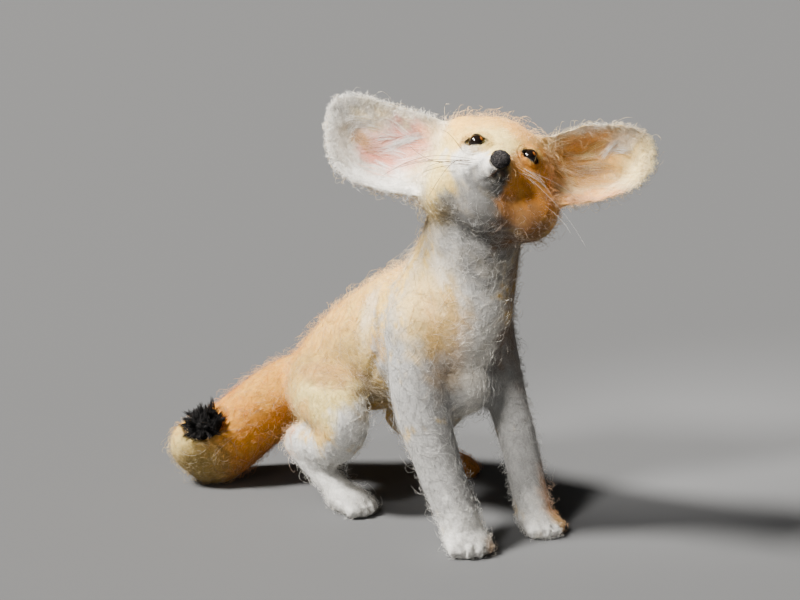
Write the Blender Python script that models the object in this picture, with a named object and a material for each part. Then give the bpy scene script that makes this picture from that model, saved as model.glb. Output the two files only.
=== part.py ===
"""Needle-felted fennec fox figurine, crouched on four paws and its curled tail, about 94 mm tall.

X runs from the rump to the chest, Y to the fox's left and Z up. Sizes are in millimetres: the
wool body is shaped whole, from tubes, balls and two cupped ears that are felted together, and
is then parted into nodes with cuts 0.3 mm wide. Last, everything is turned to metres, with the
middle of the bounding box over the origin and the soles on Z = 0.
"""

import math
import random

import bmesh
import bpy
import numpy as np
from mathutils import Matrix, Vector
from mathutils.bvhtree import BVHTree

for old in list(bpy.data.objects):
    bpy.data.objects.remove(old, do_unlink=True)

GAP = 0.3  # between two nodes that touch

# Spine: the middle of each station, its half width and its half height
RUMP = ((-33.0, 0.0, 26.5), 10.4, 11.0)
LOIN = ((-21.5, 0.0, 33.5), 12.0, 13.0)
RIBS = ((-8.0, 0.0, 39.5), 12.8, 14.8)
CHEST = ((4.5, 0.2, 45.5), 13.6, 15.2)
NECK_BASE = ((11.0, 0.5, 58.5), 11.2, 11.5)
NAPE = ((15.5, -0.5, 71.0), 9.8, 10.0)
BRISKET_AT, BRISKET = (8.0, 0.0, 33.5), (10.0, 9.5, 9.5)

# Head: its middle, where it looks, how it leans to the fox's left, and its shapes in its own axes
HEAD_AT = (19.9, -0.5, 79.4)
HEAD_YAW, HEAD_PITCH, HEAD_ROLL = -36.0, 19.5, 15.5
SKULL = (11.3, 12.4, 11.2)
CHEEKS, CHEEK = ((-0.5, -7.9, -6.0), (-0.5, 8.7, -6.5)), (8.6, 7.1, 6.8)
CROWN_AT, CROWN = (0.0, -6.5, 3.0), (8.0, 6.5, 7.0)
THROAT_AT, THROAT = (1.0, 0.0, -7.6), (8.4, 8.4, 6.4)
MUZZLE = (((3.0, 0.0, -1.6), 9.0, 7.4), ((8.4, 0.0, -2.6), 6.2, 5.1), ((12.6, 0.0, -2.2), 3.6, 3.3))
CHIN = (((5.0, 0.0, -5.4), 4.8, 3.4), ((10.4, 0.0, -4.9), 2.7, 1.9))
NOSE_AT, NOSE = (15.4, 0.0, -1.2), (1.65, 1.88, 1.75)
EYES = (5.2, 2.5), (6.1, 2.4)  # the right and the left one: how far to its side and up
EYE_RADIUS, EYE_SUNK = 1.5, 0.35

# Ears in the head's axes: root, tip, half width near the root and further out, of the upper and
# of the lower edge, depth of the cup, wall, how much longer the upper edge is than the middle,
# and how blunt the tip is
EAR_RIGHT = ((2.0, -9.6, -1.5), (-3.0, -35.2, 0.6), (8.5, 8.7), (8.7, 9.7), 5.4, 3.2, 0.11, 8.8)
EAR_LEFT = ((2.0, 8.6, 2.4), (-1.0, 31.8, 12.4), (6.3, 8.0), (8.8, 8.7), 5.4, 3.2, 0.03, 4.2)

# Legs: joints from the top down, with the radius at each
FORELEGS = (
    (
        ((6.5, -8.5, 46.0), 7.6),
        ((9.0, -10.3, 30.0), 6.4),
        ((14.5, -10.3, 17.5), 5.2),
        ((19.5, -9.8, 8.5), 4.8),
        ((22.0, -9.6, 4.2), 4.4),
    ),
    (
        ((7.0, 8.5, 45.0), 7.2),
        ((13.0, 10.4, 29.0), 4.9),
        ((18.0, 10.6, 17.5), 4.3),
        ((21.0, 10.4, 9.0), 4.2),
        ((23.0, 10.4, 4.2), 4.0),
    ),
)
HINDLEGS = (
    (
        ((-30.0, -6.0, 25.5), 9.4),
        ((-21.0, -12.5, 25.5), 8.2),
        ((-12.5, -14.5, 21.0), 6.2),
        ((-15.5, -14.8, 15.5), 5.2),
        ((-23.0, -14.5, 13.5), 4.6),
        ((-29.5, -14.5, 13.8), 3.4),
    ),
    (
        ((-30.0, 6.0, 25.5), 9.4),
        ((-23.0, 13.0, 25.5), 8.2),
        ((-15.5, 17.5, 21.0), 6.2),
        ((-18.5, 18.8, 15.5), 5.2),
        ((-25.5, 18.5, 13.5), 4.6),
        ((-31.5, 17.5, 13.8), 3.4),
    ),
)
METATARSI = (
    (((-30.5, -14.5, 12.0), 3.2), ((-22.0, -14.2, 7.4), 2.9), ((-15.0, -13.6, 4.4), 3.4)),
    (((-32.5, 17.5, 12.0), 3.2), ((-25.5, 19.5, 7.4), 2.9), ((-20.0, 21.5, 4.4), 3.4)),
)

# Paws: heel, root of the toes, half width, half height
FOREPAWS = (
    ((21.5, -9.2, 3.2), (24.6, -10.4, 2.6), 5.4, 3.9),
    ((23.0, 10.4, 3.0), (26.0, 10.0, 2.4), 4.9, 3.6),
)
HINDPAWS = (
    ((-14.5, -13.4, 3.2), (-10.0, -12.6, 2.4), 4.7, 3.5),
    ((-19.5, 22.0, 3.2), (-15.5, 24.0, 2.4), 4.5, 3.4),
)
TOE_RADIUS = 1.8
TOES = ((-0.7, 1.4), (-0.25, 2.8), (0.25, 2.8), (0.7, 1.4))  # side in half widths, lead

# Tail: joints from the root to the upturned end, then the black tuft that stands on that end
TAIL = (
    ((-35.0, -1.0, 24.5), 8.2),
    ((-42.2, -8.0, 20.8), 8.0),
    ((-47.8, -16.0, 13.2), 8.6),
    ((-50.8, -23.0, 7.7), 8.5),
    ((-51.6, -27.4, 9.2), 7.0),
)
TUFT_BASE, TUFT_WAY = (-49.3, -26.1, 13.8), (0.2, -0.5, 0.85)
TUFT_CORE, TUFT_REACH, TUFT_SPREAD, TUFT_LOCKS = 2.7, 4.1, 1.2, 26
TUFT_SEAT = 5.4  # radius of the flat that is sunk into the tail's end for it

# Felting: grain and softening of the thick shapes, then of the whole body, and its triangles
CORE_VOXEL, CORE_SMOOTHING = 0.8, 9
FELT_VOXEL, FELT_SMOOTHING = 0.5, 9
BODY_FACES = 10600

# Cuts that part the body, in turn: node, middle of the cut, way into the node, a way across,
# reach, half sizes
CUTS = (
    ("ear_right", ("head", (0, -12.2, -1.5)), ("head", (0, -1, 0)), ("head", (0, 0, 1)), 40, (14, 13)),
    ("ear_left", ("head", (0, 12.0, 3.6)), ("head", (0, 0.92, 0.4)), ("head", (0, 0, 1)), 40, (14, 13)),
    ("head", (17.0, -0.5, 69.5), (0.35, -0.1, 1), (0, 1, 0), 60, (40, 40)),
    ("neck", (11.0, 0.0, 57.5), (0.3, 0, 1), (0, 1, 0), 60, (30, 30)),
    ("tail_end", (-48.0, -12.6, 13.5), (-0.62, -0.68, -0.4), (0, 0, 1), 30, (20, 16)),
    ("tail_root", (-39.4, -3.8, 20.4), (-0.72, -0.55, -0.42), (0, 0, 1), 30, (12, 13)),
    ("foreleg_right", (11.5, -11.4, 24.0), (0.28, 0, -1), (0, 1, 0), 40, (8, 13)),
    ("foreleg_left", (15.5, 11.4, 24.0), (0.28, 0, -1), (0, 1, 0), 40, (8, 13)),
    ("hindfoot_right", (-20.0, -14.0, 9.4), (-0.3, 0, -1), (0, 1, 0), 20, (8, 17)),
    ("hindfoot_left", (-23.0, 20.5, 9.4), (-0.3, 0, -1), (0, 1, 0), 20, (8, 17)),
    ("hindleg_right", (-24.0, -8.0, 14.0), (0, -1, 0), (0.93, 0, -0.37), 30, (19, 17)),
    ("hindleg_left", (-24.0, 8.0, 14.0), (0, 1, 0), (0.93, 0, -0.37), 30, (19, 17)),
)


def head_frame():
    """The matrix from the head's own forward, left and up to the model's axes."""
    yaw, pitch, roll = (math.radians(a) for a in (HEAD_YAW, HEAD_PITCH, HEAD_ROLL))
    turn = Matrix.Rotation(yaw, 4, "Z") @ Matrix.Rotation(-pitch, 4, "Y")
    return Matrix.Translation(HEAD_AT) @ turn @ Matrix.Rotation(-roll, 4, "X")


HEAD = head_frame()


def in_head(at):
    return HEAD @ Vector(at)


def head_way(way):
    return HEAD.to_3x3() @ Vector(way)


def as_object(name, built):
    """A new object from a bmesh, which is freed."""
    mesh = bpy.data.meshes.new(name)
    built.to_mesh(mesh)
    built.free()
    made = bpy.data.objects.new(name, mesh)
    bpy.context.scene.collection.objects.link(made)
    return made


def from_faces(name, points, faces):
    """An object from points and faces, its faces turned outwards."""
    mesh = bpy.data.meshes.new(name)
    mesh.from_pydata([tuple(p) for p in points], [], faces)
    built = bmesh.new()
    built.from_mesh(mesh)
    bpy.data.meshes.remove(mesh)
    bmesh.ops.recalc_face_normals(built, faces=built.faces)
    return as_object(name, built)


def drop(*objects):
    for made in objects:
        bpy.data.objects.remove(made, do_unlink=True)


def spline(values, count):
    """Catmull-Rom curve through the rows of values, with count points per span."""
    rows = np.asarray(values, float)
    rows = np.vstack([2 * rows[0] - rows[1], rows, 2 * rows[-1] - rows[-2]])
    t = np.linspace(0, 1, count, endpoint=False)[:, None]
    spans = []
    for a, b, c, d in zip(rows, rows[1:], rows[2:], rows[3:]):
        bend = (2 * a - 5 * b + 4 * c - d) * t**2 + (3 * b - a - 3 * c + d) * t**3
        spans.append(0.5 * (2 * b + (c - a) * t + bend))
    return np.vstack([*spans, rows[-2]])


def tube(stations, side=(0.0, 1.0, 0.0)):
    """A closed tube through stations of (middle, half width, half height), with rounded ends.

    The half width lies along side, and the half height across both side and the tube's path.
    """
    per_span, ring = 6, 28
    rows = spline([[*middle, wide, high] for middle, wide, high in stations], per_span)
    path, wide, high = rows[:, :3], rows[:, 3], rows[:, 4]
    along = np.gradient(path, axis=0)
    along /= np.linalg.norm(along, axis=1)[:, None]
    reach = np.sin(np.array([0.16, 0.33, 0.5, 0.67, 0.88]) * math.pi / 2)
    start = path[0] - (reach[::-1] * min(wide[0], high[0]))[:, None] * along[0]
    end = path[-1] + (reach * min(wide[-1], high[-1]))[:, None] * along[-1]
    tight = np.sqrt(1 - reach**2)
    path = np.vstack([start, path, end])
    squeeze = np.concatenate([tight[::-1], np.ones(len(rows)), tight])
    along = np.pad(along, ((len(reach), len(reach)), (0, 0)), mode="edge")
    wide = np.pad(wide, len(reach), mode="edge") * squeeze
    high = np.pad(high, len(reach), mode="edge") * squeeze
    across = np.asarray(side, float) - (along @ np.asarray(side, float))[:, None] * along
    across /= np.linalg.norm(across, axis=1)[:, None]
    turn = np.linspace(0, 2 * math.pi, ring, endpoint=False)
    flat = across[:, None] * (wide[:, None] * np.cos(turn))[..., None]
    rise = np.cross(along, across)[:, None] * (high[:, None] * np.sin(turn))[..., None]
    here = np.arange(ring)
    after = (here + 1) % ring
    last = (len(path) - 1) * ring
    faces = [tuple(here[::-1]), tuple(last + here)]
    for r in range(0, last, ring):
        faces += [(r + a, r + b, r + ring + b, r + ring + a) for a, b in zip(here, after)]
    return from_faces("tube", (path[:, None] + flat + rise).reshape(-1, 3), faces)


def limb(joints, side=(0.0, 1.0, 0.0)):
    return tube([(at, radius, radius) for at, radius in joints], side)


def ball(name, middle, radii, frame=None, detail=3):
    """An ellipsoid of three radii, placed in a frame if one is given."""
    built = bmesh.new()
    bmesh.ops.create_icosphere(built, subdivisions=detail, radius=1.0)
    place = (frame or Matrix.Identity(4)) @ Matrix.Translation(Vector(middle))
    built.transform(place @ Matrix.Diagonal((*radii, 1.0)))
    return as_object(name, built)


def paw(heel, toes, half_width, half_height):
    """A rounded foot from heel to toes, with four toe lobes in a row at its front."""
    heel, toes = np.array(heel), np.array(toes)
    ahead = (toes - heel) * (1, 1, 0)
    ahead /= np.linalg.norm(ahead)
    side = np.array([-ahead[1], ahead[0], 0.0])
    stations = ((heel, half_width * 0.88, half_height), (toes, half_width, half_height * 0.75))
    pieces = [tube(stations, side)]
    for place, lead in TOES:
        middle = toes + side * half_width * place + ahead * lead
        middle[2] = TOE_RADIUS * 0.85
        pieces.append(ball("toe", middle, (TOE_RADIUS,) * 3, detail=2))
    return pieces


def ear(root, tip, upper, lower, cup, wall, slant, blunt):
    """A cupped leaf of felt that opens forwards, with a rolled rim as thick as its wall.

    Each edge runs at its two half widths, times the root of 1 - s to the power blunt, with s
    from 0 to 1 over the length. The sheet sinks back along its middle line by the depth of the
    cup, most of it halfway out. Inside the rim the front is pressed in by a third of the wall.
    Its length grows by slant towards the upper edge.
    """
    root, tip = np.array(root), np.array(tip)
    length = np.linalg.norm(tip - root)
    axis = (tip - root) / length
    forward = np.array([1.0, 0.0, 0.0]) - axis[0] * axis
    forward /= np.linalg.norm(forward)
    across = np.cross(axis, forward)
    s, t = np.linspace(0, 1, 34), np.linspace(-1, 1, 25)
    spread = np.clip((s - 0.1) / 0.45, 0, 1)
    spread = spread * spread * (3 - 2 * spread)
    closed = np.clip(1 - s**blunt, 0, 1) ** 0.5
    high, low = ((near + (far - near) * spread) * closed for near, far in (upper, lower))
    raised = t * np.sign(across[2])
    edge = np.where(raised > 0, high[:, None], low[:, None])
    sink = cup * (0.05 + 0.95 * np.sin(math.pi * np.clip(s / 0.95, 0, 1)) ** 1.3)
    sheet = root + axis * (length * s[:, None] * (1 + slant * edge / edge.max() * raised))[..., None]
    sheet = sheet + across * (edge * t)[..., None]
    sheet = sheet - forward * (sink[:, None] * (1 - t**2))[..., None]
    inside = np.clip(1.7 * (1 - t**2), 0, 1) * np.clip(4.0 * (1 - s), 0, 1)[:, None]
    front = sheet + forward * (wall * (0.5 - 0.36 * inside))[..., None]
    points = np.vstack([front.reshape(-1, 3), (sheet - forward * wall * 0.5).reshape(-1, 3)])
    rows, columns = len(s), len(t)
    back = rows * columns
    faces = []
    for a in (r * columns + c for r in range(rows - 1) for c in range(columns - 1)):
        for b in (a, a + back):
            faces.append((b, b + 1, b + columns + 1, b + columns))
    rim = [r * columns for r in range(rows)] + [back - columns + c for c in range(1, columns)]
    rim += [r * columns + columns - 1 for r in range(rows - 2, -1, -1)] + list(range(columns - 2, 0, -1))
    faces += [(a, b, b + back, a + back) for a, b in zip(rim, rim[1:] + rim[:1])]
    return from_faces("ear", [in_head(p) for p in points], faces)


def lock(root, way, length, radius):
    """A tapered four-sided lock of wool that bends a little upwards to its tip."""
    side = way.orthogonal().normalized()
    other = way.cross(side)
    points = []
    for s, thick in ((0.0, 1.0), (0.45, 0.85), (0.8, 0.5), (1.0, 0.0)):
        middle = root + way * (length * s) + Vector((0, 0, 0.12 * length * s * s))
        corners = (side, other, -side, -other) if thick else (side,)
        points += [middle + corner * radius * thick for corner in corners]
    faces = [(3, 2, 1, 0)]
    for k in range(4):
        after = (k + 1) % 4
        faces += [(ring + k, ring + after, ring + 4 + after, ring + 4 + k) for ring in (0, 4)]
        faces.append((8 + k, 8 + after, 12))
    return from_faces("lock", points, faces)


def settled(made):
    """Turns the object's modifiers into its mesh."""
    graph = bpy.context.evaluated_depsgraph_get()
    mesh = bpy.data.meshes.new_from_object(made.evaluated_get(graph))
    made.modifiers.clear()
    made.data = mesh
    return made


def felted(pieces, voxel, smoothing):
    """One skin round crossing shapes, its creases softened as felting does."""
    built = bmesh.new()
    for piece in pieces:
        built.from_mesh(piece.data)
    drop(*pieces)
    made = as_object("felt", built)
    remesh = made.modifiers.new("felt", "REMESH")
    remesh.mode = "VOXEL"
    remesh.voxel_size = voxel
    smooth = made.modifiers.new("soften", "SMOOTH")
    smooth.factor = 0.5
    smooth.iterations = smoothing
    return largest(settled(made))


def thinned(made, faces):
    """The mesh reduced to about this many triangles."""
    made.modifiers.new("triangles", "TRIANGULATE")
    settled(made)
    made.modifiers.new("thin", "DECIMATE").ratio = min(1.0, faces / len(made.data.polygons))
    return settled(made)


def cut(made, other, operation="DIFFERENCE", solver="MANIFOLD"):
    """A Boolean of the object with another, applied."""
    boolean = made.modifiers.new("cut", "BOOLEAN")
    boolean.operation = operation
    boolean.solver = solver
    boolean.object = other
    return settled(made)


def largest(made):
    """Keeps only the object's largest closed surface."""
    built = bmesh.new()
    built.from_mesh(made.data)
    left = set(built.faces)
    groups = []
    while left:
        group = {left.pop()}
        edge = list(group)
        while edge:
            near = {f for side in edge.pop().edges for f in side.link_faces} & left
            left -= near
            group |= near
            edge += near
        groups.append(group)
    keep = max(groups, key=len)
    bmesh.ops.delete(built, geom=[f for f in built.faces if f not in keep], context="FACES")
    built.to_mesh(made.data)
    built.free()
    return made


def block(at, normal, across, reach, halves, grow=0.0):
    """A box whose near face has its middle at, and that reaches on along normal.

    Its half sizes are halves, the first along across, and grow moves all its faces outwards.
    """
    ahead = Vector(normal).normalized()
    side = (Vector(across) - ahead * ahead.dot(Vector(across))).normalized()
    turn = Matrix((ahead, side, ahead.cross(side))).transposed().to_4x4()
    middle = Matrix.Translation(Vector(at) + ahead * (reach / 2))
    sizes = (reach / 2 + grow, halves[0] + grow, halves[1] + grow)
    built = bmesh.new()
    bmesh.ops.create_cube(built, size=2.0)
    built.transform(middle @ turn @ Matrix.Diagonal((*sizes, 1.0)))
    return as_object("block", built)


def bar(at, way, radius, reach):
    """A round bar with a flat end whose middle is at, and that reaches on along way."""
    built = bmesh.new()
    bmesh.ops.create_cone(built, cap_ends=True, segments=36, radius1=radius, radius2=radius, depth=reach)
    turn = way.to_track_quat("Z", "Y").to_matrix().to_4x4()
    built.transform(Matrix.Translation(Vector(at) + way * (reach / 2)) @ turn)
    return as_object("bar", built)


def trimmed(made, cutter):
    """The object without the part of it that lies inside the cutter, which goes."""
    cut(made, cutter)
    drop(cutter)
    return largest(made)


def split_off(whole, name, *where):
    """Takes the part of the whole inside a block as its own object, with a gap between them."""
    piece = as_object(name, bmesh.new())
    piece.data = whole.data.copy()
    inner, outer = block(*where), block(*where, grow=GAP)
    cut(piece, inner, "INTERSECT")
    cut(whole, outer)
    drop(inner, outer)
    return largest(piece)


# Thick shapes of the wool body: spine, legs, tail and head
thick = [tube((RUMP, LOIN, RIBS, CHEST, NECK_BASE, NAPE))]
thick += [limb(joints) for joints in FORELEGS + HINDLEGS + METATARSI]
thick.append(limb(TAIL, side=(0.0, 0.0, 1.0)))
thick.append(ball("brisket", BRISKET_AT, BRISKET))
thick.append(ball("skull", (0, 0, 0), SKULL, HEAD))
thick.append(ball("crown", CROWN_AT, CROWN, HEAD))
thick.append(ball("throat", THROAT_AT, THROAT, HEAD))
for at in CHEEKS:
    thick.append(ball("cheek", at, CHEEK, HEAD))
for profile in (MUZZLE, CHIN):
    thick.append(tube([(in_head(at), wide, high) for at, wide, high in profile], head_way((0, 1, 0))))

# Thin and small shapes go on after: ears and paws
thin = [felted(thick, CORE_VOXEL, CORE_SMOOTHING), ear(*EAR_RIGHT), ear(*EAR_LEFT)]
for shape in FOREPAWS + HINDPAWS:
    thin += paw(*shape)
body = thinned(felted(thin, FELT_VOXEL, FELT_SMOOTHING), BODY_FACES)

# Soles and the tail's underside are flat where they rest
trimmed(body, block((0, 0, 0), (0, 0, -1), (1, 0, 0), 20, (200, 200)))

# Black tuft: short locks of wool that stand out from a round core, in a seat in the tail's end
tuft_way = Vector(TUFT_WAY).normalized()
trimmed(body, bar(TUFT_BASE, tuft_way, TUFT_SEAT, 20))
tuft_root = Vector(TUFT_BASE) + tuft_way * TUFT_CORE * 0.2
tuft = ball("tail_tuft", tuft_root, (TUFT_CORE,) * 3, detail=2)
locks = bpy.data.collections.new("locks")
bpy.context.scene.collection.children.link(locks)
draw = random.Random(7)
side = tuft_way.orthogonal().normalized()
for k in range(TUFT_LOCKS):
    lean = math.acos(1 - (k + 0.5) / TUFT_LOCKS * (1 - math.cos(TUFT_SPREAD)))
    turn = k * math.pi * (3 - math.sqrt(5))
    way = side * math.cos(turn) + tuft_way.cross(side) * math.sin(turn)
    way = tuft_way * math.cos(lean) + way * math.sin(lean)
    reach, thick = TUFT_REACH * draw.uniform(0.85, 1.1), draw.uniform(0.8, 1.0)
    made = lock(tuft_root + way * TUFT_CORE * 0.3, way, reach, thick)
    bpy.context.scene.collection.objects.unlink(made)
    locks.objects.link(made)
union = tuft.modifiers.new("union", "BOOLEAN")
union.operation = "UNION"
union.solver = "EXACT"
union.operand_type = "COLLECTION"
union.collection = locks
settled(tuft)
drop(*locks.objects)
bpy.data.collections.remove(locks)
tuft_foot = block(Vector(TUFT_BASE) + tuft_way * GAP, -tuft_way, (1, 0, 0), 20, (15, 15))
nodes = {"tail_tuft": trimmed(tuft, tuft_foot)}

# Bead eyes and the felt nose sit in sockets of the head
surface = BVHTree.FromObject(body, bpy.context.evaluated_depsgraph_get())
sockets = []
for name, sign, (aside, up) in (("eye_right", -1, EYES[0]), ("eye_left", 1, EYES[1])):
    start = in_head((40, sign * aside, up))
    found, normal = surface.ray_cast(start, head_way((-1, 0, 0)))[:2]
    middle = found - normal * EYE_SUNK
    nodes[name] = ball(name, middle, (EYE_RADIUS,) * 3)
    sockets.append(ball("socket", middle, (EYE_RADIUS + GAP,) * 3))
nodes["nose"] = ball("nose", NOSE_AT, NOSE, HEAD)
sockets.append(ball("socket", NOSE_AT, [r + GAP for r in NOSE], HEAD))
for socket in sockets:
    cut(body, socket)
drop(*sockets)

# The body is parted into its nodes
for name, at, normal, across, reach, halves in CUTS:
    if at[0] == "head":
        at, normal, across = in_head(at[1]), head_way(normal[1]), head_way(across[1])
    nodes[name] = split_off(body, name, at, normal, across, reach, halves)
nodes["torso"] = largest(body)
body.name = "torso"

# Wool, glass and felt: colour, roughness
MATERIALS = {
    "cream_wool": ((0.78, 0.58, 0.36), 0.95),
    "white_wool": ((0.80, 0.77, 0.72), 0.95),
    "tan_wool": ((0.74, 0.42, 0.17), 0.95),
    "black_wool": ((0.02, 0.018, 0.017), 0.95),
    "glass": ((0.012, 0.008, 0.006), 0.06),
}
WORN = {
    "cream_wool": ("torso", "head", "neck", "hindleg_right", "hindleg_left"),
    "white_wool": ("ear_right", "ear_left", "foreleg_right", "foreleg_left", "hindfoot_right"),
    "tan_wool": ("tail_root", "tail_end", "hindfoot_left"),
    "black_wool": ("tail_tuft", "nose"),
    "glass": ("eye_right", "eye_left"),
}
for slot, (colour, roughness) in MATERIALS.items():
    for name in WORN[slot]:
        material = bpy.data.materials.new(f"{slot}_{name}")
        material.use_nodes = True
        shader = material.node_tree.nodes["Principled BSDF"]
        shader.inputs["Base Color"].default_value = (*colour, 1.0)
        shader.inputs["Roughness"].default_value = roughness
        shader.inputs["Metallic"].default_value = 0.0
        mesh = nodes[name].data
        mesh.materials.clear()
        mesh.materials.append(material)
        mesh.shade_smooth()
        mesh.set_sharp_from_angle(angle=math.radians(50))

# The middle of the bounding box comes over the origin and the soles to Z = 0, in metres
corners = np.array([v.co for made in nodes.values() for v in made.data.vertices])
low, high = corners.min(0), corners.max(0)
move = Vector((-(low[0] + high[0]) / 2, -(low[1] + high[1]) / 2, -low[2]))
for made in nodes.values():
    made.data.transform(Matrix.Scale(0.001, 4) @ Matrix.Translation(move))
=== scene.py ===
"""Needle-felted fennec fox figurine: felt skin, laid wool fibres, bead eyes, nose, whiskers, tuft.

Places are given in millimetres in the figure's own layout, with X from rump to chest, Y to the
fox's left and Z up. The function placed turns them to metres from the middle of the foot of the
part's box.
"""

import math

import bpy
import numpy as np
from mathutils import Matrix, Vector
from mathutils.kdtree import KDTree


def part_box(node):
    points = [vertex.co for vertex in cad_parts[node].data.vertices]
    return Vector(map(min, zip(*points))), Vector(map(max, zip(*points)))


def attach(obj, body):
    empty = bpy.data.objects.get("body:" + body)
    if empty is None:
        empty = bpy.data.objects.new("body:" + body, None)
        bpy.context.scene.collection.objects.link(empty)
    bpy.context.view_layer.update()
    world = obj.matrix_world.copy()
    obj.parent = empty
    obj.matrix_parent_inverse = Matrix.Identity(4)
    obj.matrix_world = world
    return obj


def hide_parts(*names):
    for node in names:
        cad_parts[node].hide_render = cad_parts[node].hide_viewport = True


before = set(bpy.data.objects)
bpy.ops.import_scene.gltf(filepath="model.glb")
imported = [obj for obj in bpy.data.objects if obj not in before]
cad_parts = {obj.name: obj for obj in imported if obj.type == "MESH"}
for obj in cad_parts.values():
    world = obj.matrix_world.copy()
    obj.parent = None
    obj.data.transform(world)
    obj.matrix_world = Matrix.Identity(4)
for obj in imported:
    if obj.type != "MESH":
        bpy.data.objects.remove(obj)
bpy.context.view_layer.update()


# Camera, floor and lamps. The figurine stands on a plain pale sheet and is seen from its right
# front. A large soft lamp is above its right side, a small one lights its face, and weak light
# comes from all round.
MIDDLE = np.array((9.5818, 2.7849, 0.0))


def placed(points):
    """Metres from the middle of the box's foot, of places in the layout."""
    return (np.asarray(points, float) + MIDDLE) * 0.001


def linked(name, data):
    """A new object of the scene with these data."""
    made = bpy.data.objects.new(name, data)
    bpy.context.scene.collection.objects.link(made)
    return made


AIM = placed((0.0, -8.5, 50.0))
AROUND, ABOVE, AWAY = math.radians(50.0), math.radians(12.0), 0.35
back = np.array((math.sin(AROUND) * math.cos(ABOVE), -math.cos(AROUND) * math.cos(ABOVE), math.sin(ABOVE)))
right = np.array((math.cos(AROUND), math.sin(AROUND), 0.0))
camera_data = bpy.data.cameras.new("camera")
camera_data.lens = 73.26
camera_data.sensor_width = 36.0
camera_data.clip_start = 0.01
camera = linked("camera", camera_data)
camera.location = AIM + AWAY * back
camera.rotation_euler = Vector(-back).to_track_quat("-Z", "Y").to_euler()
bpy.context.scene.camera = camera


def lamp(name, way, strength, spread, colour):
    """A far lamp that shines from way with soft shadows, spread degrees wide."""
    data = bpy.data.lights.new(name, "SUN")
    data.energy, data.angle, data.color = strength, math.radians(spread), colour
    linked(name, data).rotation_euler = Vector(way).to_track_quat("Z", "Y").to_euler()


def set_inputs(node, **values):
    """Gives a node's sockets their values; an underscore in a name stands for a space."""
    for name, value in values.items():
        node.inputs[name.replace("_", " ")].default_value = value


lamp("key", -0.82 * right + 0.12 * back + np.array((0, 0, 0.95)), 11.5, 12.0, (1.0, 0.97, 0.92))
lamp("fill", -0.55 * right + back + np.array((0, 0, 0.55)), 0.26, 40.0, (0.95, 0.97, 1.0))
face_data = bpy.data.lights.new("face", "SPOT")
face_data.energy, face_data.color = 19.0, (1.0, 0.97, 0.93)
face_data.spot_size, face_data.spot_blend = math.radians(16.0), 0.8
face_data.shadow_soft_size = 0.04
face_lamp = linked("face", face_data)
face_way = Vector(-0.62 * right + 0.72 * back + np.array((0, 0, 0.66))).normalized()
face_lamp.location = Vector(placed((15.0, -11.0, 91.0))) + 0.3 * face_way
face_lamp.rotation_euler = face_way.to_track_quat("Z", "Y").to_euler()
world = bpy.data.worlds.new("room")
world.use_nodes = True
set_inputs(world.node_tree.nodes["Background"], Color=(0.96, 0.98, 1.0, 1.0), Strength=0.045)
bpy.context.scene.world = world


def new_material(name):
    """A material with its nodes, its links and its main shader."""
    made = bpy.data.materials.new(name)
    made.use_nodes = True
    tree = made.node_tree
    return made, tree.nodes, tree.links, tree.nodes["Principled BSDF"]


sheet = bpy.data.meshes.new("floor")
sheet.from_pydata([(-40, -40, 0), (40, -40, 0), (40, 40, 0), (-40, 40, 0)], [], [(0, 1, 2, 3)])
floor = linked("floor", sheet)
paper, _, _, shader = new_material("paper")
set_inputs(shader, Base_Color=(0.115, 0.117, 0.12, 1), Roughness=0.9)
sheet.materials.append(paper)


# Felt body. Carded wool is rolled up and stabbed with barbed needles until it is one firm body,
# with no seams, so one skin takes the place of all the wool solids, set in by the depth of its nap.
WOOL_NODES = [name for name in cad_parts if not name.startswith(("eye", "nose", "tail_tuft"))]
# How far the solids swell to close the gaps between them, the coat's depth and the remesh's grain
SWELL, NAP, GRAIN = 0.2e-3, 0.22e-3, 0.4e-3
# The head's middle and its axes: it is turned to the right, tilted up and leans to the left
HEAD_AT = (19.9, -0.5, 79.4)
HEAD_YAW, HEAD_PITCH, HEAD_ROLL = -36.0, 19.5, 15.5
HEAD = Matrix.Rotation(math.radians(HEAD_YAW), 3, "Z")
HEAD = HEAD @ Matrix.Rotation(math.radians(-HEAD_PITCH), 3, "Y")
HEAD = np.array(HEAD @ Matrix.Rotation(math.radians(-HEAD_ROLL), 3, "X"))


def layout(points):
    """Millimetres in the layout, from metres: the way back from placed."""
    return np.asarray(points, float) * 1000.0 - MIDDLE


def from_head(points):
    """Layout places of points that are given forward, left and up from the head's middle."""
    return np.asarray(points, float) @ HEAD.T + HEAD_AT


def to_head(points):
    """Forward, left and up from the head's middle, of layout places."""
    return (np.asarray(points, float) - HEAD_AT) @ HEAD


def lengths(ways):
    """Lengths of ways, each along the last axis."""
    return np.linalg.norm(ways, axis=-1)


def arrays(mesh):
    """Points, normals and triangles of a mesh, as arrays."""
    points, normals = np.empty(len(mesh.vertices) * 3), np.empty(len(mesh.vertices) * 3)
    mesh.vertices.foreach_get("co", points)
    mesh.vertex_normals.foreach_get("vector", normals)
    mesh.calc_loop_triangles()
    corners = np.empty(len(mesh.loop_triangles) * 3, np.int32)
    mesh.loop_triangles.foreach_get("vertices", corners)
    return points.reshape(-1, 3), normals.reshape(-1, 3), corners.reshape(-1, 3)


def evaluated(made):
    """Turns the object's modifiers into its mesh."""
    graph = bpy.context.evaluated_depsgraph_get()
    made.data = bpy.data.meshes.new_from_object(made.evaluated_get(graph))
    made.modifiers.clear()


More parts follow.
